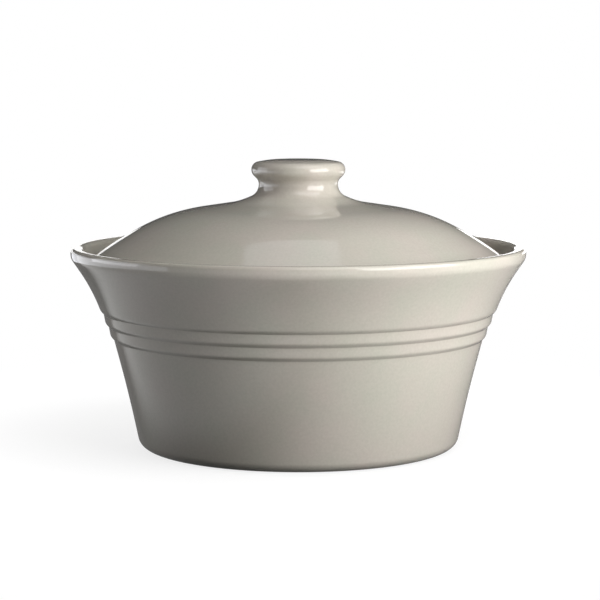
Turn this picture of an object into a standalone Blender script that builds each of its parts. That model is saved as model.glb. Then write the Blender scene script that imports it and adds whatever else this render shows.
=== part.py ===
"""Round lidded casserole dish in glazed stoneware: metres, +Z up, standing on its foot ring at the origin.

It is two fired pieces. The dish has a tapered body, a row of banded rolls, a flared upper wall, a thick lip
and a ledge inside the lip. The domed lid, in one piece with its knob, rests on that ledge and lifts off.

Both are turned shapes. An outline is a list of corners, drawn so that it runs down the outer side, and the
rounding of each corner becomes an arc. The outline is then turned about the vertical axis.
"""

import math
from collections import namedtuple

import bpy
from mathutils import Matrix, Vector

# Turning
SEGMENTS = 52
CHORD_ERROR = 0.00011
MERGE_DISTANCE = 0.00001

# Dish: lip
RIM_RADIUS = 0.1450
RIM_HEIGHT = 0.1282
LIP_THICKNESS = 0.0077
LIP_DEPTH = 0.0053
LIP_INNER_ROUNDING = 0.0040
LIP_OUTER_ROUNDING = 0.0020
LIP_FOOT_ROUNDING = 0.0080

# Dish: flared upper wall, which bends a little steeper on its way down and rolls in at its foot
FLARE_BEND_RADIUS = 0.1324
FLARE_BEND_HEIGHT = 0.1033
FLARE_BEND_ROUNDING = 0.1400
FLARE_FOOT_RADIUS = 0.1265
FLARE_FOOT_HEIGHT = 0.0881
FLARE_FOOT_ROUNDING = 0.0060

# Dish: bands, each a roll between two grooves, stepping in and down from the first groove
BAND_COUNT = 2
GROOVE_RADIUS = 0.1246
GROOVE_HEIGHT = 0.0866
GROOVE_ROUNDING = 0.0012
BAND_STEP_IN = 0.0032
BAND_STEP_DOWN = 0.00835
ROLL_FOOT_IN = 0.0011
ROLL_FOOT_DROP = 0.0062
ROLL_FOOT_ROUNDING = 0.0036

# Dish: tapered lower wall and foot
BODY_BEND_RADIUS = 0.1090
BODY_BEND_HEIGHT = 0.0344
BODY_BEND_ROUNDING = 0.9500
FOOT_RADIUS = 0.1019
FOOT_ROUNDING = 0.0075
FOOT_RING_INNER_RADIUS = 0.0900
FOOT_RECESS_DEPTH = 0.0015
FOOT_RING_ROUNDING = 0.0010

# Dish: inside
FLOOR_HEIGHT = 0.0090
FLOOR_RADIUS = 0.0962
FLOOR_ROUNDING = 0.0140
INNER_BEND_RADIUS = 0.1156
INNER_BEND_HEIGHT = 0.0840
INNER_BEND_ROUNDING = 0.1200
LEDGE_DEPTH = 0.0125
LEDGE_INNER_RADIUS = 0.1273
LEDGE_OUTER_RADIUS = 0.1337
LEDGE_ROUNDING = 0.0015

# Lid: how it sits. Heights on the lid are measured up from its seat, the flat ring that meets the ledge
SEAT_GAP = 0.0003
LID_CLEARANCE = 0.0025
LID_THICKNESS = 0.0070
LID_EDGE_HEIGHT = 0.0062
LID_EDGE_ROUNDING = 0.0025
SEAT_ROUNDING = 0.0015
FLANGE_CLEARANCE = 0.0028
FLANGE_DEPTH = 0.0048
FLANGE_THICKNESS = 0.0052
FLANGE_DRAFT = 0.0004
FLANGE_ROUNDING = 0.0015

# Lid: dome, an ogee that falls gently from the knob, turns over a shoulder and runs down a steeper flank
COLLAR_RADIUS = 0.0386
COLLAR_HEIGHT = 0.0404
COLLAR_ROUNDING = 0.0500
SHOULDER_RADIUS = 0.0858
SHOULDER_HEIGHT = 0.0331
SHOULDER_ROUNDING = 0.1160
FLANK_RADIUS = 0.1165
FLANK_HEIGHT = 0.0152
FLANK_ROUNDING = 0.2000
DOME_FOOT_ROUNDING = 0.0060

# Lid: knob, a rounded head on a waisted neck, hollow from below
KNOB_TOP = 0.0674
KNOB_CROWN = 0.0022
KNOB_CROWN_RADIUS = 0.0180
KNOB_CROWN_ROUNDING = 0.0600
HEAD_RADIUS = 0.0299
HEAD_THICKNESS = 0.0066
HEAD_ROUNDING = 0.0050
NECK_RADIUS = 0.02525
NECK_TOP = 0.05386
NECK_TOP_ROUNDING = 0.0052
NECK_FOOT = 0.0460
NECK_FOOT_ROUNDING = 0.0083
WELL_MOUTH_RADIUS = 0.0140
WELL_TOP_RADIUS = 0.0110
WELL_TOP = 0.0560
WELL_ROUNDING = 0.0050

# Glaze, as linear red, green and blue
GLAZE_COLOUR = (0.42, 0.40, 0.35)
GLAZE_ROUGHNESS = 0.12

Corner = namedtuple("Corner", "radius height rounding", defaults=(0.0,))


def place_of(corner):
    """A corner's place in the plane of the outline."""
    return Vector((corner.radius, corner.height))


def rounded(corners):
    """Points of an outline whose corners between its two ends are rounded to arcs."""
    points = [place_of(corners[0])]
    for before, corner, after in zip(corners, corners[1:], corners[2:]):
        place = place_of(corner)
        back = (place_of(before) - place).normalized()
        ahead = (place_of(after) - place).normalized()
        turn = math.pi - back.angle(ahead)
        way = math.copysign(1.0, back.x * ahead.y - back.y * ahead.x)
        centre = place + (back + ahead).normalized() * corner.rounding / math.cos(turn / 2)
        spoke = place + back * corner.rounding * math.tan(turn / 2) - centre
        finest_step = 2 * math.acos(1 - CHORD_ERROR / corner.rounding)
        steps = math.ceil(turn / finest_step)
        for step in range(steps + 1):
            points.append(centre + Matrix.Rotation(-way * turn * step / steps, 2) @ spoke)
    points.append(place_of(corners[-1]))
    return points


def inset(before, corner, after, depth):
    """The corner under this one, with both its sides moved in by a depth, on an outline drawn outwards."""
    first = (place_of(corner) - place_of(before)).normalized()
    second = (place_of(after) - place_of(corner)).normalized()
    inwards = Vector((first.y + second.y, -first.x - second.x))
    moved = place_of(corner) + inwards * depth / (1 + first.dot(second))
    return Corner(moved.x, moved.y, corner.rounding - depth)


def height_at(radius, first, second):
    """The height, at a radius, of the straight line through two corners."""
    rise = (second.height - first.height) / (second.radius - first.radius)
    return first.height + (radius - first.radius) * rise


def band_corners():
    """The grooves of the dish and the rolls between them, from the top groove to the bottom one."""
    corners = []
    for band in range(BAND_COUNT + 1):
        radius = GROOVE_RADIUS - band * BAND_STEP_IN
        height = GROOVE_HEIGHT - band * BAND_STEP_DOWN
        corners.append(Corner(radius, height, GROOVE_ROUNDING))
        if band < BAND_COUNT:
            corners.append(Corner(radius - ROLL_FOOT_IN, height - ROLL_FOOT_DROP, ROLL_FOOT_ROUNDING))
    return corners


def dish_corners():
    """The dish, from the middle of its floor, up inside, over the lip and down to the middle of its foot."""
    ledge_height = RIM_HEIGHT - LEDGE_DEPTH
    inside = [
        Corner(0, FLOOR_HEIGHT),
        Corner(FLOOR_RADIUS, FLOOR_HEIGHT, FLOOR_ROUNDING),
        Corner(INNER_BEND_RADIUS, INNER_BEND_HEIGHT, INNER_BEND_ROUNDING),
        Corner(LEDGE_INNER_RADIUS, ledge_height, LEDGE_ROUNDING),
        Corner(LEDGE_OUTER_RADIUS, ledge_height, LEDGE_ROUNDING),
        Corner(RIM_RADIUS - LIP_THICKNESS, RIM_HEIGHT, LIP_INNER_ROUNDING),
    ]
    flare = [
        Corner(RIM_RADIUS, RIM_HEIGHT, LIP_OUTER_ROUNDING),
        Corner(RIM_RADIUS, RIM_HEIGHT - LIP_DEPTH, LIP_FOOT_ROUNDING),
        Corner(FLARE_BEND_RADIUS, FLARE_BEND_HEIGHT, FLARE_BEND_ROUNDING),
        Corner(FLARE_FOOT_RADIUS, FLARE_FOOT_HEIGHT, FLARE_FOOT_ROUNDING),
    ]
    body = [
        Corner(BODY_BEND_RADIUS, BODY_BEND_HEIGHT, BODY_BEND_ROUNDING),
        Corner(FOOT_RADIUS, 0, FOOT_ROUNDING),
        Corner(FOOT_RING_INNER_RADIUS, 0, FOOT_RING_ROUNDING),
        Corner(FOOT_RING_INNER_RADIUS - FOOT_RECESS_DEPTH, FOOT_RECESS_DEPTH, FOOT_RING_ROUNDING),
        Corner(0, FOOT_RECESS_DEPTH),
    ]
    return inside + flare + band_corners() + body


def lid_corners():
    """The lid, from the top of its knob, down the dome, round its edge and back in underneath."""
    lid_radius = LEDGE_OUTER_RADIUS - LID_CLEARANCE
    flange_radius = LEDGE_INNER_RADIUS - FLANGE_CLEARANCE
    knob_edge = KNOB_TOP - KNOB_CROWN
    neck_foot = Corner(NECK_RADIUS, NECK_FOOT, NECK_FOOT_ROUNDING)
    knob = [
        Corner(0, KNOB_TOP),
        Corner(KNOB_CROWN_RADIUS, KNOB_TOP, KNOB_CROWN_ROUNDING),
        Corner(HEAD_RADIUS, knob_edge, HEAD_ROUNDING),
        Corner(HEAD_RADIUS, knob_edge - HEAD_THICKNESS, HEAD_ROUNDING),
        Corner(NECK_RADIUS, NECK_TOP, NECK_TOP_ROUNDING),
        neck_foot,
    ]
    collar = Corner(COLLAR_RADIUS, COLLAR_HEIGHT, COLLAR_ROUNDING)
    shoulder = Corner(SHOULDER_RADIUS, SHOULDER_HEIGHT, SHOULDER_ROUNDING)
    flank = Corner(FLANK_RADIUS, FLANK_HEIGHT, FLANK_ROUNDING)
    edge = Corner(lid_radius, LID_EDGE_HEIGHT, LID_EDGE_ROUNDING)
    seat = [
        Corner(lid_radius, 0, SEAT_ROUNDING),
        Corner(flange_radius, 0, FLANGE_ROUNDING),
        Corner(flange_radius - FLANGE_DRAFT, -FLANGE_DEPTH, FLANGE_ROUNDING),
        Corner(flange_radius - FLANGE_THICKNESS, -FLANGE_DEPTH, FLANGE_ROUNDING),
    ]
    below_collar = inset(neck_foot, collar, shoulder, LID_THICKNESS)
    below_shoulder = inset(collar, shoulder, flank, LID_THICKNESS)
    below_flank = inset(shoulder, flank, edge, LID_THICKNESS)
    foot_radius = flange_radius - FLANGE_THICKNESS - FLANGE_DRAFT
    underside = [
        Corner(foot_radius, height_at(foot_radius, below_shoulder, below_flank), DOME_FOOT_ROUNDING),
        below_shoulder,
        Corner(WELL_MOUTH_RADIUS, height_at(WELL_MOUTH_RADIUS, below_collar, below_shoulder), WELL_ROUNDING),
        Corner(WELL_TOP_RADIUS, WELL_TOP, WELL_ROUNDING),
        Corner(0, WELL_TOP),
    ]
    return knob + [collar, shoulder, flank, edge] + seat + underside


def glaze(name):
    """A glossy, opaque, warm grey glaze."""
    material = bpy.data.materials.new(name)
    material.use_nodes = True
    shader = material.node_tree.nodes["Principled BSDF"]
    shader.inputs["Base Color"].default_value = (*GLAZE_COLOUR, 1)
    shader.inputs["Roughness"].default_value = GLAZE_ROUGHNESS
    shader.inputs["Metallic"].default_value = 0
    return material


def turned_piece(name, corners, height, parent):
    """A solid turned about the vertical axis, with its origin on that axis at a height."""
    points = [(point.x, 0, point.y) for point in rounded(corners)]
    mesh = bpy.data.meshes.new(name)
    mesh.from_pydata(points, [(place, place + 1) for place in range(len(points) - 1)], [])
    mesh.materials.append(glaze(name + "_glaze"))
    piece = bpy.data.objects.new(name, mesh)
    bpy.context.collection.objects.link(piece)
    piece.parent = parent
    piece.location.z = height
    turn = piece.modifiers.new("turn", "SCREW")
    turn.axis = "Z"
    turn.angle = 2 * math.pi
    turn.steps = SEGMENTS
    turn.render_steps = SEGMENTS
    turn.use_merge_vertices = True
    turn.merge_threshold = MERGE_DISTANCE
    turn.use_smooth_shade = True


def main():
    for old in list(bpy.data.objects):
        bpy.data.objects.remove(old, do_unlink=True)
    casserole = bpy.data.objects.new("casserole", None)
    bpy.context.collection.objects.link(casserole)
    turned_piece("dish", dish_corners(), 0, casserole)
    turned_piece("lid", lid_corners(), RIM_HEIGHT - LEDGE_DEPTH + SEAT_GAP, casserole)


if __name__ == "__main__":
    main()
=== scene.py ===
"""Looks of a round lidded casserole dish in glazed stoneware: metres, +Z up, on its foot ring at the origin.

The dish and its lid are turned again here, finer than the solids. Each starts as an outline of corners, and
one node tree rounds the corners, turns the outline about the vertical axis, and notes how far each place
stands out or sinks in. The glaze colour uses this to pale edges and darken grooves: thinner and pooled
glaze, and also a painted highlight on edges and painted shade in grooves.
"""

import math
from collections import namedtuple

import bpy
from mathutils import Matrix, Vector


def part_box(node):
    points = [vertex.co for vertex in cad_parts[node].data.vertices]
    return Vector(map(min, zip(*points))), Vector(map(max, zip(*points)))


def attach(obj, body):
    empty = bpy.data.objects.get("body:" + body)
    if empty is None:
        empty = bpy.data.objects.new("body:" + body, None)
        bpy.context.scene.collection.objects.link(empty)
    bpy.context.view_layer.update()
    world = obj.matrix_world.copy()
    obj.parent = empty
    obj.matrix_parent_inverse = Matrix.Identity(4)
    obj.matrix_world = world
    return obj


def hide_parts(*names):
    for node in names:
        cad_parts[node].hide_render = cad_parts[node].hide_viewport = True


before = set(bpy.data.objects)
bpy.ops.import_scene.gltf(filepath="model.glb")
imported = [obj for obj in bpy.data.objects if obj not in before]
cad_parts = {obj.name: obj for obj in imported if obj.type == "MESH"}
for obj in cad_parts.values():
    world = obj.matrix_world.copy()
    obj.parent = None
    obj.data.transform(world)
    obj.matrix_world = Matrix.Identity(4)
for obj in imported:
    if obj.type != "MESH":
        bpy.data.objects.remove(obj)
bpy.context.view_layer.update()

# Whole sizes, from the solids
RIM_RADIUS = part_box("dish")[1].x
RIM_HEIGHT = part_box("dish")[1].z
TOP_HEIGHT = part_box("lid")[1].z

# Turning: flats round a piece, how closely points follow its outline, and the tiny hole closed at its poles
SEGMENTS = 240
STEP_ANGLE = math.radians(6)
LEAST_STEPS = 2
RUN_SPACING = 0.0025
POLE_RADIUS = 0.000002
MERGE_DISTANCE = 3 * POLE_RADIUS

# Relief: how far along the outline a place is compared with its neighbours
RELIEF_REACH = 0.0024

# Dish: lip
LIP_THICKNESS = 0.0077
LIP_DEPTH = 0.0063
LIP_INNER_ROUNDING = 0.0040
LIP_OUTER_ROUNDING = 0.0022
LIP_FOOT_ROUNDING = 0.0070

# Dish: flared upper wall, which bends a little steeper on its way down and rolls in at its foot
FLARE_BEND_RADIUS = 0.1324
FLARE_BEND_HEIGHT = 0.1033
FLARE_BEND_ROUNDING = 0.1150
FLARE_FOOT_RADIUS = 0.1265
FLARE_FOOT_HEIGHT = 0.0881
FLARE_FOOT_ROUNDING = 0.0060

# Dish: bands, each a roll between two grooves, stepping in and down from the first groove
BAND_COUNT = 2
GROOVE_RADIUS = 0.1246
GROOVE_HEIGHT = 0.0866
GROOVE_ROUNDING = 0.0012
BAND_STEP_IN = 0.0032
BAND_STEP_DOWN = 0.00835
ROLL_FOOT_IN = 0.0011
ROLL_FOOT_DROP = 0.0062
ROLL_FOOT_ROUNDING = 0.0036

# Dish: tapered lower wall and foot
BODY_BEND_RADIUS = 0.1090
BODY_BEND_HEIGHT = 0.0344
BODY_BEND_ROUNDING = 0.9500
FOOT_RADIUS = 0.1019
FOOT_ROUNDING = 0.0075
FOOT_RING_INNER_RADIUS = 0.0900
FOOT_RECESS_DEPTH = 0.0015
FOOT_RING_ROUNDING = 0.0010

# Dish: inside
FLOOR_HEIGHT = 0.0090
FLOOR_RADIUS = 0.0962
FLOOR_ROUNDING = 0.0140
INNER_BEND_RADIUS = 0.1156
INNER_BEND_HEIGHT = 0.0840
INNER_BEND_ROUNDING = 0.1200
LEDGE_DEPTH = 0.0125
LEDGE_INNER_RADIUS = 0.1273
LEDGE_OUTER_RADIUS = 0.1337
LEDGE_ROUNDING = 0.0015

# Lid: how it sits
SEAT_GAP = 0.0003
SEAT_HEIGHT = RIM_HEIGHT - LEDGE_DEPTH + SEAT_GAP
LID_CLEARANCE = 0.0025
LID_THICKNESS = 0.0070
LID_EDGE_HEIGHT = 0.0062
LID_EDGE_ROUNDING = 0.0025
SEAT_ROUNDING = 0.0015
FLANGE_CLEARANCE = 0.0028
FLANGE_DEPTH = 0.0048
FLANGE_THICKNESS = 0.0052
FLANGE_DRAFT = 0.0004
FLANGE_ROUNDING = 0.0015

# Lid: dome, an ogee that falls gently from the knob, turns over a shoulder and runs down a steeper flank
COLLAR_RADIUS = 0.0386
COLLAR_HEIGHT = 0.0404
COLLAR_ROUNDING = 0.0500
SHOULDER_RADIUS = 0.0858
SHOULDER_HEIGHT = 0.0331
SHOULDER_ROUNDING = 0.1160
FLANK_RADIUS = 0.1165
FLANK_HEIGHT = 0.0152
FLANK_ROUNDING = 0.2000
DOME_FOOT_ROUNDING = 0.0060

# Lid: knob, a rounded head on a waisted neck, hollow from below
KNOB_TOP = TOP_HEIGHT - SEAT_HEIGHT
KNOB_CROWN = 0.0022
KNOB_CROWN_RADIUS = 0.0180
KNOB_CROWN_ROUNDING = 0.0600
HEAD_RADIUS = 0.0299
HEAD_THICKNESS = 0.0066
HEAD_ROUNDING = 0.0050
NECK_RADIUS = 0.02525
NECK_TOP = 0.05386
NECK_TOP_ROUNDING = 0.0052
NECK_FOOT = 0.0460
NECK_FOOT_ROUNDING = 0.0083
WELL_MOUTH_RADIUS = 0.0140
WELL_TOP_RADIUS = 0.0110
WELL_TOP = 0.0560
WELL_ROUNDING = 0.0050

# Glaze: its colour, those of its clouds and mottle, and those where it runs thin over edges and pools deep
# in grooves, which also paint a highlight on edges and shade in grooves
GLAZE_COLOUR = "#B2B0A4"
CLOUD_COLOUR = "#B8B0A7"
MOTTLE_COLOUR = "#D0CBC0"
THIN_GLAZE_AND_HIGHLIGHT_COLOUR = "#CFC8B9"
POOLED_GLAZE_AND_SHADE_COLOUR = "#8F8375"

# Glaze: the most that each of these takes of the colour, and the values between which a noise mostly keeps
CLOUD_SHARE = 1
MOTTLE_SHARE = 0.2
THIN_GLAZE_AND_HIGHLIGHT_SHARE = 0.05
POOLED_GLAZE_AND_SHADE_SHARE = 0.12
NOISE_LOW = 0.3
NOISE_HIGH = 0.7

# Glaze: how far an edge stands out, or a groove in, where its paler or darker tint starts and where most so;
# the tint is thinner or pooled glaze and also a painted highlight or painted shade
RELIEF_START = 0.0001
RELIEF_FULL = 0.0009

# Glaze: how it mirrors
GLAZE_IOR = 1.5
GLAZE_ROUGHNESS_LOW = 0.035
GLAZE_ROUGHNESS_HIGH = 0.06

# Glaze: sizes of its clouds, mottle, waves and fine ripple, and how high the waves and the ripple stand
CLOUD_SIZE = 0.034
MOTTLE_SIZE = 0.0015
WAVE_SIZE = 0.016
WAVE_HEIGHT = 0.000012
RIPPLE_SIZE = 0.0013
RIPPLE_HEIGHT = 0.000001

# Bare clay: its finish, the line below which the glaze is wiped off, and its grain
CLAY_COLOUR = "#CFC2AA"
CLAY_ROUGHNESS = 0.85
FOOT_GLAZE_LINE = 0.0003
SEAT_WIPE = 0.0006
SEAT_GLAZE_LINE = SEAT_HEIGHT + SEAT_WIPE
GLAZE_LINE_WAVER = 0.0005
GLAZE_LINE_WIDTH = 0.0002
WAVER_SIZE = 0.011
GRAIN_SIZE = 0.0004
GRAIN_HEIGHT = 0.00004

# Camera, fitted to the outline of the dish, with its elevation in degrees
CAMERA_DISTANCE = 1.3056
CAMERA_ELEVATION = 6.36
CAMERA_TARGET = Vector((0.00106, 0, 0.0932))
CAMERA_LENS = 122.04

# White cards standing behind the dish
CARD_ASIDE = 0.20
CARD_WIDTH = 0.14
CARD_BACK = 0.20
CARD_FOOT = 0.108
CARD_TOP = 0.152

# Room: how bright it looks round the white, the light it gives all over, and what it is in the glaze
PALE_ROOM = 0.62
FILL_COLOUR = "#363636"
MIRRORED_COLOUR = "#2C2D30"

# White backdrop: where it starts and where it is whole, as cosines of the angle from straight back
BACKDROP_START = 0.95
BACKDROP_FULL = 0.98

# Studio floor: its radius, the degrees between its corners, and how far below the foot ring it lies
STUDIO_FLOOR_RADIUS = 4.0
STUDIO_FLOOR_STEP = 3
STUDIO_FLOOR_GAP = 0.0002

# Studio floor: how much its white widens for each metre back, and the way to its left front
WHITE_SPREAD = 0.147
LEFT_FRONT = Vector((-0.832, -0.555, 0))

Corner = namedtuple("Corner", "radius height rounding", defaults=(0.0,))
Ramp = namedtuple("Ramp", "along start end low high shape", defaults=("SMOOTHSTEP",))
Lamp = namedtuple(
    "Lamp",
    "name azimuth elevation distance width height watts colour lights shows",
    defaults=(True, True),
)

# How the floor changes: along which measure, from where to where in metres, and from which value to which
FLOOR_RAMPS = {
    "glow near the dish": Ramp("reach", 0.1, 0.35, 0.8, 1, "LINEAR"),
    "white to the front": Ramp("depth", -0.9, -0.42, PALE_ROOM, 1),
    "white to the sides": Ramp("breadth", 0.22, 0.6, 1, PALE_ROOM),
    "mirrored on the left": Ramp("leftwards", 0.10, 0.16, 0.16, 1),
    "mirrored on the right": Ramp("across", 0, 0.3, 0.03, 0.2),
    # Paint for bounced light, darker to the left and near the dish: a painted shadow of the dish on the
    # floor
    "bounce dimmed to the left by painted shadow": Ramp("across", -0.05, 0.3, 0.25, 1),
    "bounce dimmed near the dish by painted shadow": Ramp("reach", 0.14, 0.34, 0.14, 1),
    "shadow near the dish": Ramp("reach", 0.2, 0.42, 0.2, 0),
}

# Azimuth in degrees to the right of the camera, elevation in degrees above the floor, sizes in metres.
# A lamp that doesn't light is only seen in the glaze, and a lamp that doesn't show isn't seen there.
LAMP_AIM = Vector((0, 0, 0.09))
LAMPS = [
    Lamp("key softbox", 53, 17, 0.85, 0.78, 0.56, 9.8, "#FFFFFF"),
    Lamp("front bank", 38, 60, 1.2, 1.2, 0.6, 6.2, "#FFFFFF"),
    Lamp("left softbox", -100, 10, 1.3, 0.9, 0.9, 6.0, "#FAFAFF"),
    Lamp("overhead panel", -176, 74, 1.2, 0.46, 0.32, 0.4, "#F2F7FF"),
    Lamp("left strip", -105, 1, 0.5, 1.0, 0.2, 1.05, "#F6F8FF", lights=False),
    Lamp("back fill", 180, 9, 1.6, 1.6, 0.5, 14.0, "#FFFFFF", shows=False),
]


def place_of(corner):
    """A corner's place in the plane of the outline."""
    return Vector((corner.radius, corner.height))


def inset(before, corner, after, depth):
    """The corner under this one, both its sides moved in by a depth, on an outline drawn outwards."""
    first = (place_of(corner) - place_of(before)).normalized()
    second = (place_of(after) - place_of(corner)).normalized()
    inwards = Vector((first.y + second.y, -first.x - second.x))
    moved = place_of(corner) + inwards * depth / (1 + first.dot(second))
    return Corner(moved.x, moved.y, corner.rounding - depth)


def height_at(radius, first, second):
    """The height, at a radius, of the straight line through two corners."""
    rise = (second.height - first.height) / (second.radius - first.radius)
    return first.height + (radius - first.radius) * rise


def band_corners():
    """The grooves of the dish and the rolls between them, from the top groove to the bottom one."""
    corners = []
    for band in range(BAND_COUNT + 1):
        radius = GROOVE_RADIUS - band * BAND_STEP_IN
        height = GROOVE_HEIGHT - band * BAND_STEP_DOWN
        corners.append(Corner(radius, height, GROOVE_ROUNDING))
        if band < BAND_COUNT:
            corners.append(Corner(radius - ROLL_FOOT_IN, height - ROLL_FOOT_DROP, ROLL_FOOT_ROUNDING))
    return corners


def dish_corners():
    """The dish, from the middle of its floor, up inside, over the lip and down to the middle of its base."""
    ledge_height = RIM_HEIGHT - LEDGE_DEPTH
    inside = [
        Corner(0, FLOOR_HEIGHT),
        Corner(FLOOR_RADIUS, FLOOR_HEIGHT, FLOOR_ROUNDING),
        Corner(INNER_BEND_RADIUS, INNER_BEND_HEIGHT, INNER_BEND_ROUNDING),
        Corner(LEDGE_INNER_RADIUS, ledge_height, LEDGE_ROUNDING),
        Corner(LEDGE_OUTER_RADIUS, ledge_height, LEDGE_ROUNDING),
        Corner(RIM_RADIUS - LIP_THICKNESS, RIM_HEIGHT, LIP_INNER_ROUNDING),
    ]
    flare = [
        Corner(RIM_RADIUS, RIM_HEIGHT, LIP_OUTER_ROUNDING),
        Corner(RIM_RADIUS, RIM_HEIGHT - LIP_DEPTH, LIP_FOOT_ROUNDING),
        Corner(FLARE_BEND_RADIUS, FLARE_BEND_HEIGHT, FLARE_BEND_ROUNDING),
        Corner(FLARE_FOOT_RADIUS, FLARE_FOOT_HEIGHT, FLARE_FOOT_ROUNDING),
    ]
    body = [
        Corner(BODY_BEND_RADIUS, BODY_BEND_HEIGHT, BODY_BEND_ROUNDING),
        Corner(FOOT_RADIUS, 0, FOOT_ROUNDING),
        Corner(FOOT_RING_INNER_RADIUS, 0, FOOT_RING_ROUNDING),
        Corner(FOOT_RING_INNER_RADIUS - FOOT_RECESS_DEPTH, FOOT_RECESS_DEPTH, FOOT_RING_ROUNDING),
        Corner(0, FOOT_RECESS_DEPTH),
    ]
    return inside + flare + band_corners() + body


def lid_corners():
    """The lid, from the top of its knob, down the dome, round its edge and back in underneath."""
    lid_radius = LEDGE_OUTER_RADIUS - LID_CLEARANCE
    flange_radius = LEDGE_INNER_RADIUS - FLANGE_CLEARANCE
    knob_edge = KNOB_TOP - KNOB_CROWN
    neck_foot = Corner(NECK_RADIUS, NECK_FOOT, NECK_FOOT_ROUNDING)
    knob = [
        Corner(0, KNOB_TOP),
        Corner(KNOB_CROWN_RADIUS, KNOB_TOP, KNOB_CROWN_ROUNDING),
        Corner(HEAD_RADIUS, knob_edge, HEAD_ROUNDING),
        Corner(HEAD_RADIUS, knob_edge - HEAD_THICKNESS, HEAD_ROUNDING),
        Corner(NECK_RADIUS, NECK_TOP, NECK_TOP_ROUNDING),
        neck_foot,
    ]
    collar = Corner(COLLAR_RADIUS, COLLAR_HEIGHT, COLLAR_ROUNDING)
    shoulder = Corner(SHOULDER_RADIUS, SHOULDER_HEIGHT, SHOULDER_ROUNDING)
    flank = Corner(FLANK_RADIUS, FLANK_HEIGHT, FLANK_ROUNDING)
    edge = Corner(lid_radius, LID_EDGE_HEIGHT, LID_EDGE_ROUNDING)
    seat = [
        Corner(lid_radius, 0, SEAT_ROUNDING),
        Corner(flange_radius, 0, FLANGE_ROUNDING),
        Corner(flange_radius - FLANGE_DRAFT, -FLANGE_DEPTH, FLANGE_ROUNDING),
        Corner(flange_radius - FLANGE_THICKNESS, -FLANGE_DEPTH, FLANGE_ROUNDING),
    ]
    below_collar = inset(neck_foot, collar, shoulder, LID_THICKNESS)
    below_shoulder = inset(collar, shoulder, flank, LID_THICKNESS)
    below_flank = inset(shoulder, flank, edge, LID_THICKNESS)
    foot_radius = flange_radius - FLANGE_THICKNESS - FLANGE_DRAFT
    foot_height = height_at(foot_radius, below_shoulder, below_flank)
    well_mouth = height_at(WELL_MOUTH_RADIUS, below_collar, below_shoulder)
    underside = [
        Corner(foot_radius, foot_height, DOME_FOOT_ROUNDING),
        below_shoulder,
        Corner(WELL_MOUTH_RADIUS, well_mouth, WELL_ROUNDING),
        Corner(WELL_TOP_RADIUS, WELL_TOP, WELL_ROUNDING),
        Corner(0, WELL_TOP),
    ]
    outline = knob + [collar, shoulder, flank, edge] + seat + underside
    return [corner._replace(height=corner.height + SEAT_HEIGHT) for corner in outline]


def linear(colour):
    """An sRGB hex colour as linear red, green, blue and alpha."""
    parts = [int(colour[at:at + 2], 16) / 255 for at in (1, 3, 5)]
    return (*[((c + 0.055) / 1.055) ** 2.4 if c > 0.04045 else c / 12.92 for c in parts], 1)


def add(tree, kind, links, **settings):
    """A new node in a tree, with its settings, and each input linked to a socket or set to a value."""
    node = tree.nodes.new(kind)
    for name, value in settings.items():
        setattr(node, name, value)
    for name, source in links.items():
        if isinstance(source, bpy.types.NodeSocket):
            tree.links.new(source, node.inputs[name])
        else:
            node.inputs[name].default_value = source
    return node


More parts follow.
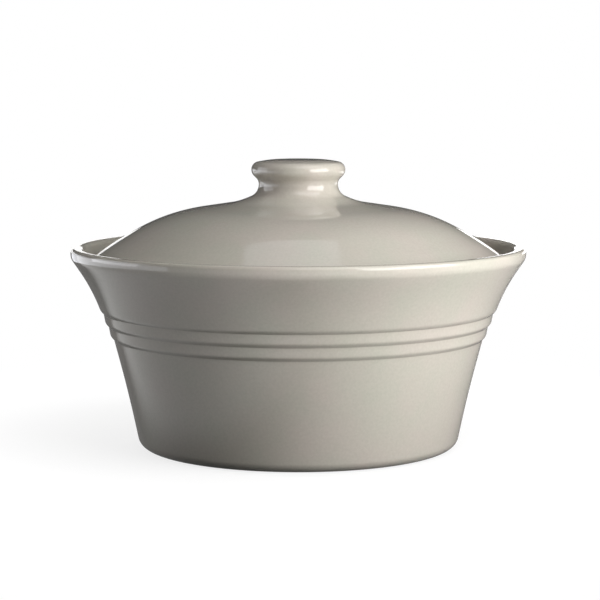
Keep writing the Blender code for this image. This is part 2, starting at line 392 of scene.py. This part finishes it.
def turning_tree():
    """Rounds an outline's corners, notes its relief, and turns it upright into a closed body."""
    tree = bpy.data.node_groups.new("turned on the wheel", "GeometryNodeTree")
    sockets = {
        "Outline": "NodeSocketGeometry",
        "Segments": "NodeSocketInt",
        "Run Spacing": "NodeSocketFloat",
        "Relief Reach": "NodeSocketFloat",
        "Pole Radius": "NodeSocketFloat",
        "Merge Distance": "NodeSocketFloat",
        "Glaze": "NodeSocketMaterial",
    }
    for name, kind in sockets.items():
        tree.interface.new_socket(name, in_out="INPUT", socket_type=kind)
    tree.interface.new_socket("Piece", in_out="OUTPUT", socket_type="NodeSocketGeometry")
    given = add(tree, "NodeGroupInput", {}).outputs

    rounding = add(tree, "GeometryNodeInputNamedAttribute", {"Name": "rounding"}, data_type="FLOAT")
    steps = add(tree, "GeometryNodeInputNamedAttribute", {"Name": "steps"}, data_type="INT")
    line = add(tree, "GeometryNodeMeshToCurve", {"Mesh": given["Outline"]})
    arcs = add(tree, "GeometryNodeFilletCurve", {
        "Curve": line.outputs["Curve"],
        "Count": steps.outputs["Attribute"],
        "Radius": rounding.outputs["Attribute"],
    }, mode="POLY")

    along = add(tree, "GeometryNodeSplineParameter", {}).outputs
    after = add(tree, "ShaderNodeMath", {0: along["Index"], 1: 1}, operation="ADD")
    far = add(tree, "GeometryNodeFieldAtIndex", {"Value": along["Length"], "Index": after.outputs[0]})
    run = add(tree, "ShaderNodeMath", {0: far.outputs[0], 1: along["Length"]}, operation="SUBTRACT")
    cuts = add(tree, "ShaderNodeMath", {0: run.outputs[0], 1: given["Run Spacing"]}, operation="DIVIDE")
    fine = add(tree, "GeometryNodeSubdivideCurve", {
        "Curve": arcs.outputs["Curve"],
        "Cuts": cuts.outputs[0],
    })

    here = add(tree, "GeometryNodeInputPosition", {})
    tangent = add(tree, "GeometryNodeInputTangent", {})
    sides = []
    for way in ("SUBTRACT", "ADD"):
        place = add(tree, "ShaderNodeMath", {
            0: along["Length"],
            1: given["Relief Reach"],
        }, operation=way)
        side = add(tree, "GeometryNodeSampleCurve", {
            "Curves": fine.outputs["Curve"],
            "Length": place.outputs[0],
        }, mode="LENGTH")
        sides.append(side.outputs["Position"])
    both = add(tree, "ShaderNodeVectorMath", {0: sides[0], 1: sides[1]}, operation="ADD")
    middle = add(tree, "ShaderNodeVectorMath", {0: both.outputs[0], "Scale": 0.5}, operation="SCALE")
    stands = add(tree, "ShaderNodeVectorMath", {
        0: here.outputs[0],
        1: middle.outputs[0],
    }, operation="SUBTRACT")
    outwards = add(tree, "ShaderNodeVectorMath", {
        0: tangent.outputs[0],
        1: (0, 0, 1),
    }, operation="CROSS_PRODUCT")
    relief = add(tree, "ShaderNodeVectorMath", {
        0: stands.outputs[0],
        1: outwards.outputs[0],
    }, operation="DOT_PRODUCT")
    noted = add(tree, "GeometryNodeStoreNamedAttribute", {
        "Geometry": fine.outputs["Curve"],
        "Name": "relief",
        "Value": relief.outputs["Value"],
    }, data_type="FLOAT", domain="POINT")

    circle = add(tree, "GeometryNodeCurvePrimitiveCircle", {
        "Resolution": given["Segments"],
        "Radius": given["Pole Radius"],
    })
    body = add(tree, "GeometryNodeCurveToMesh", {
        "Curve": circle.outputs["Curve"],
        "Profile Curve": noted.outputs["Geometry"],
    })
    closed = add(tree, "GeometryNodeMergeByDistance", {
        "Geometry": body.outputs["Mesh"],
        "Distance": given["Merge Distance"],
    })
    smooth = add(tree, "GeometryNodeSetShadeSmooth", {"Geometry": closed.outputs["Geometry"]})
    real = add(tree, "GeometryNodeRealizeInstances", {"Geometry": smooth.outputs["Geometry"]})
    glazed = add(tree, "GeometryNodeSetMaterial", {
        "Geometry": real.outputs["Geometry"],
        "Material": given["Glaze"],
    })
    add(tree, "NodeGroupOutput", {"Piece": glazed.outputs["Geometry"]})
    return tree


def arc_steps(before, corner, after):
    """How many points the arc at a corner takes."""
    turn = (place_of(corner) - place_of(before)).angle(place_of(after) - place_of(corner))
    by_angle = math.ceil(turn / STEP_ANGLE)
    by_run = math.ceil(turn * corner.rounding / RUN_SPACING)
    return max(LEAST_STEPS, by_angle, by_run)


def turned_piece(name, corners, tree, glaze):
    """A piece of the dish, made from its outline by the turning tree and kept as a plain mesh."""
    mesh = bpy.data.meshes.new(name + "_outline")
    points = [(corner.radius - POLE_RADIUS, -corner.height, 0) for corner in corners]
    mesh.from_pydata(points, [(at, at + 1) for at in range(len(points) - 1)], [])
    steps = [arc_steps(*three) for three in zip(corners, corners[1:], corners[2:])]
    for attribute, kind, values in (
        ("rounding", "FLOAT", [corner.rounding for corner in corners]),
        ("steps", "INT", [1, *steps, 1]),
    ):
        mesh.attributes.new(attribute, kind, "POINT").data.foreach_set("value", values)
    piece = bpy.data.objects.new(name, mesh)
    bpy.context.scene.collection.objects.link(piece)
    turning = piece.modifiers.new("turning", "NODES")
    turning.node_group = tree
    sizes = {
        "Segments": SEGMENTS,
        "Run Spacing": RUN_SPACING,
        "Relief Reach": RELIEF_REACH,
        "Pole Radius": POLE_RADIUS,
        "Merge Distance": MERGE_DISTANCE,
        "Glaze": glaze,
    }
    for socket in tree.interface.items_tree:
        if socket.in_out == "INPUT" and socket.name in sizes:
            turning[socket.identifier] = sizes[socket.name]
    bpy.context.view_layer.update()
    made = piece.evaluated_get(bpy.context.evaluated_depsgraph_get())
    turned = bpy.data.meshes.new_from_object(made)
    piece.modifiers.remove(turning)
    piece.data = turned
    turned.name = name
    return piece


def glazed_stoneware(name, glaze_line):
    """Stoneware dipped in an opaque glaze and fired, and wiped bare below a line so that it doesn't stick.

    The glaze is a glassy, mirror-like coat with a slight waviness, soft clouds of colour and a fine mottle.
    It breaks paler where it runs thin over edges, and pools darker in grooves; these tints are also a
    painted highlight on edges and painted shade in grooves. The bare clay is pale, dull and grainy.
    """
    material = bpy.data.materials.new(name)
    material.use_nodes = True
    tree = material.node_tree
    shader = tree.nodes["Principled BSDF"]
    shader.inputs["IOR"].default_value = GLAZE_IOR

    place = add(tree, "ShaderNodeTexCoord", {}).outputs["Object"]
    relief = add(tree, "ShaderNodeAttribute", {}, attribute_name="relief").outputs["Fac"]
    noises = {}
    for noise, size, detail in (
        ("cloud", CLOUD_SIZE, 3),
        ("mottle", MOTTLE_SIZE, 2),
        ("wave", WAVE_SIZE, 1),
        ("ripple", RIPPLE_SIZE, 1),
        ("waver", WAVER_SIZE, 2),
        ("grain", GRAIN_SIZE, 2),
    ):
        node = add(tree, "ShaderNodeTexNoise", {"Vector": place, "Scale": 1 / size, "Detail": detail})
        noises[noise] = node.outputs["Fac"]

    height = add(tree, "ShaderNodeSeparateXYZ", {"Vector": place}).outputs["Z"]
    shift = add(tree, "ShaderNodeMath", {
        0: noises["waver"],
        1: GLAZE_LINE_WAVER,
        2: height,
    }, operation="MULTIPLY_ADD")
    line = glaze_line + GLAZE_LINE_WAVER / 2
    bare = add(tree, "ShaderNodeMapRange", {
        "Value": shift.outputs[0],
        "From Min": line - GLAZE_LINE_WIDTH,
        "From Max": line + GLAZE_LINE_WIDTH,
        "To Min": 1,
        "To Max": 0,
    }).outputs["Result"]

    colour = linear(GLAZE_COLOUR)
    for tint, source, start, full, most in (
        (CLOUD_COLOUR, noises["cloud"], NOISE_LOW, NOISE_HIGH, CLOUD_SHARE),
        (MOTTLE_COLOUR, noises["mottle"], NOISE_LOW, NOISE_HIGH, MOTTLE_SHARE),
        # Thin and deep tints: thinner and pooled glaze, and also a painted highlight on edges and painted
        # shade in grooves
        (THIN_GLAZE_AND_HIGHLIGHT_COLOUR, relief, RELIEF_START, RELIEF_FULL, THIN_GLAZE_AND_HIGHLIGHT_SHARE),
        (POOLED_GLAZE_AND_SHADE_COLOUR, relief, -RELIEF_START, -RELIEF_FULL, POOLED_GLAZE_AND_SHADE_SHARE),
        (CLAY_COLOUR, bare, 0, 1, 1),
    ):
        share = add(tree, "ShaderNodeMapRange", {
            "Value": source,
            "From Min": start,
            "From Max": full,
            "To Max": most,
        })
        colour = add(tree, "ShaderNodeMix", {
            "Factor": share.outputs["Result"],
            6: colour,
            7: linear(tint),
        }, data_type="RGBA").outputs[2]
    tree.links.new(colour, shader.inputs["Base Color"])

    gloss = add(tree, "ShaderNodeMapRange", {
        "Value": noises["mottle"],
        "To Min": GLAZE_ROUGHNESS_LOW,
        "To Max": GLAZE_ROUGHNESS_HIGH,
    }).outputs["Result"]
    rough = add(tree, "ShaderNodeMix", {"Factor": bare, 2: gloss, 3: CLAY_ROUGHNESS}).outputs[0]
    tree.links.new(rough, shader.inputs["Roughness"])

    wave = add(tree, "ShaderNodeMath", {0: noises["wave"], 1: WAVE_HEIGHT}, operation="MULTIPLY")
    ripple = add(tree, "ShaderNodeMath", {
        0: noises["ripple"],
        1: RIPPLE_HEIGHT,
        2: wave.outputs[0],
    }, operation="MULTIPLY_ADD")
    grain = add(tree, "ShaderNodeMath", {0: noises["grain"], 1: GRAIN_HEIGHT}, operation="MULTIPLY")
    skin = add(tree, "ShaderNodeMix", {"Factor": bare, 2: ripple.outputs[0], 3: grain.outputs[0]})
    bump = add(tree, "ShaderNodeBump", {"Height": skin.outputs[0], "Distance": 1})
    tree.links.new(bump.outputs["Normal"], shader.inputs["Normal"])
    return material


def towards(azimuth, elevation):
    """The direction from the dish, by degrees to the right of the camera and degrees above the floor."""
    turn, lift = math.radians(azimuth), math.radians(elevation)
    return Vector((math.sin(turn) * math.cos(lift), -math.cos(turn) * math.cos(lift), math.sin(lift)))


def seen_rays(tree):
    """Which rays show the studio, as two values: straight or through glass, and mirrored in the glaze."""
    ray = add(tree, "ShaderNodeLightPath", {}).outputs
    straight = add(tree, "ShaderNodeMath", {
        0: ray["Is Camera Ray"],
        1: ray["Is Transmission Ray"],
    }, operation="MAXIMUM").outputs[0]
    return straight, ray["Is Glossy Ray"]


def surround(scene):
    """A pale room, white straight behind the dish and dark in the glaze, that gives an even fill."""
    world = bpy.data.worlds.new("studio")
    world.use_nodes = True
    scene.world = world
    tree = world.node_tree
    straight, glossy = seen_rays(tree)
    way = add(tree, "ShaderNodeTexCoord", {}).outputs["Generated"]
    backdrop = add(tree, "ShaderNodeMapRange", {
        "Value": add(tree, "ShaderNodeSeparateXYZ", {"Vector": way}).outputs["Y"],
        "From Min": BACKDROP_START,
        "From Max": BACKDROP_FULL,
        "To Min": PALE_ROOM,
        "To Max": 1,
    }, interpolation_type="SMOOTHSTEP").outputs["Result"]
    colour = linear(FILL_COLOUR)
    for rays, seen in ((glossy, linear(MIRRORED_COLOUR)), (straight, backdrop)):
        colour = add(tree, "ShaderNodeMix", {
            "Factor": rays,
            6: colour,
            7: seen,
        }, data_type="RGBA").outputs[2]
    tree.links.new(colour, tree.nodes["Background"].inputs["Color"])


def floor_paint():
    """White matt paint on the studio floor, which keeps the shadow of the dish and turns pale far from it.

    In the glaze it is bright to the left and dark elsewhere. Its paint for bounced light is darker near the
    dish and to the left, a painted shadow of the dish, so it throws little light back there.
    """
    material = bpy.data.materials.new("white matt paint")
    material.use_nodes = True
    tree = material.node_tree
    shader = tree.nodes["Principled BSDF"]
    shader.inputs["Roughness"].default_value = 1
    shader.inputs["Specular IOR Level"].default_value = 0
    shader.inputs["Emission Color"].default_value = (1, 1, 1, 1)

    place = add(tree, "ShaderNodeTexCoord", {}).outputs["Object"]
    across, depth, _ = add(tree, "ShaderNodeSeparateXYZ", {"Vector": place}).outputs
    aside = add(tree, "ShaderNodeMath", {0: across}, operation="ABSOLUTE").outputs[0]
    breadth = add(tree, "ShaderNodeMath", {0: depth, 1: -WHITE_SPREAD, 2: aside}, operation="MULTIPLY_ADD")
    reach = add(tree, "ShaderNodeVectorMath", {0: place}, operation="LENGTH")
    leftwards = add(tree, "ShaderNodeVectorMath", {0: place, 1: LEFT_FRONT}, operation="DOT_PRODUCT")
    measures = {
        "across": across,
        "depth": depth,
        "breadth": breadth.outputs[0],
        "reach": reach.outputs["Value"],
        "leftwards": leftwards.outputs["Value"],
    }
    straight, glossy = seen_rays(tree)
    values = {"all": 1, "straight": straight, "glossy": glossy}
    for name, ramp in FLOOR_RAMPS.items():
        values[name] = add(tree, "ShaderNodeMapRange", {
            "Value": measures[ramp.along],
            "From Min": ramp.start,
            "From Max": ramp.end,
            "To Min": ramp.low,
            "To Max": ramp.high,
        }, interpolation_type=ramp.shape).outputs["Result"]
    for name, first, operation, second in (
        ("white", "white to the front", "MINIMUM", "white to the sides"),
        ("glow", "glow near the dish", "MULTIPLY", "white"),
        ("shown", "glow", "MULTIPLY", "straight"),
        ("mirror", "mirrored on the left", "MAXIMUM", "mirrored on the right"),
        ("mirrored", "mirror", "MULTIPLY", "glossy"),
        ("strength", "shown", "ADD", "mirrored"),
        ("lighting", "all", "SUBTRACT", "glossy"),
        # Bounced light from the floor, dimmed by the painted shadow of the dish
        ("bounce", "bounce dimmed to the left by painted shadow", "MULTIPLY", "bounce dimmed near the dish by painted shadow"),
        ("bounced", "bounce", "MULTIPLY", "lighting"),
    ):
        values[name] = add(tree, "ShaderNodeMath", {
            0: values[first],
            1: values[second],
        }, operation=operation).outputs[0]
    paint = add(tree, "ShaderNodeMix", {
        "Factor": straight,
        2: values["bounced"],
        3: values["shadow near the dish"],
    }).outputs[0]
    tree.links.new(paint, shader.inputs["Base Color"])
    tree.links.new(values["strength"], shader.inputs["Emission Strength"])
    return material


def white_card():
    """White card that glows evenly, with no lamp on it, which gives the glaze a flat white patch to mirror.
    """
    material = bpy.data.materials.new("white card")
    material.use_nodes = True
    shader = material.node_tree.nodes["Principled BSDF"]
    shader.inputs["Emission Color"].default_value = (1, 1, 1, 1)
    shader.inputs["Emission Strength"].default_value = 1
    return material


def sheet(name, points, material):
    """A flat sheet of the studio, with these points as its corners."""
    mesh = bpy.data.meshes.new(name)
    mesh.from_pydata(points, [], [range(len(points))])
    mesh.materials.append(material)
    made = bpy.data.objects.new(name, mesh)
    bpy.context.scene.collection.objects.link(made)
    return made


def studio_sheets():
    """The floor, and two cards behind the dish that only show as reflections in the glaze."""
    drop = Vector((0, 0, STUDIO_FLOOR_GAP))
    sheet("floor", [
        towards(turn, 0) * STUDIO_FLOOR_RADIUS - drop for turn in range(0, 360, STUDIO_FLOOR_STEP)
    ], floor_paint())
    card = white_card()
    for name, middle in (("left card", -CARD_ASIDE), ("right card", CARD_ASIDE)):
        left, right = middle - CARD_WIDTH / 2, middle + CARD_WIDTH / 2
        made = sheet(name, [
            (left, CARD_BACK, CARD_FOOT),
            (right, CARD_BACK, CARD_FOOT),
            (right, CARD_BACK, CARD_TOP),
            (left, CARD_BACK, CARD_TOP),
        ], card)
        made.visible_camera = False
        made.visible_diffuse = False
        made.visible_shadow = False


def place_facing(made, aim, away, distance):
    """Put a camera or a lamp at a distance from what it is aimed at, facing it."""
    bpy.context.scene.collection.objects.link(made)
    made.location = aim + away * distance
    made.rotation_mode = "QUATERNION"
    made.rotation_quaternion = away.to_track_quat("Z", "Y")


def studio():
    """The surround, the floor and cards, the camera and the lamps."""
    scene = bpy.context.scene
    scene.view_settings.view_transform = "Standard"
    surround(scene)
    studio_sheets()

    camera = bpy.data.objects.new("camera", bpy.data.cameras.new("camera"))
    camera.data.lens = CAMERA_LENS
    place_facing(camera, CAMERA_TARGET, towards(0, CAMERA_ELEVATION), CAMERA_DISTANCE)
    scene.camera = camera

    for lamp in LAMPS:
        light = bpy.data.lights.new(lamp.name, "AREA")
        light.shape = "RECTANGLE"
        light.size, light.size_y = lamp.width, lamp.height
        light.energy = lamp.watts
        light.color = linear(lamp.colour)[:3]
        made = bpy.data.objects.new(lamp.name, light)
        made.visible_camera = False
        made.visible_diffuse = lamp.lights
        made.visible_glossy = lamp.shows
        place_facing(made, LAMP_AIM, towards(lamp.azimuth, lamp.elevation), lamp.distance)


def main():
    """Both pieces on their bodies, with their solids hidden, and the studio round them."""
    tree = turning_tree()
    for name, corners, glaze_line in (
        ("dish", dish_corners(), FOOT_GLAZE_LINE),
        ("lid", lid_corners(), SEAT_GLAZE_LINE),
    ):
        glaze = glazed_stoneware(name + " glazed stoneware", glaze_line)
        piece = turned_piece("glazed_" + name, corners, tree, glaze)
        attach(piece, name)
        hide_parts(name)
    studio()


main()
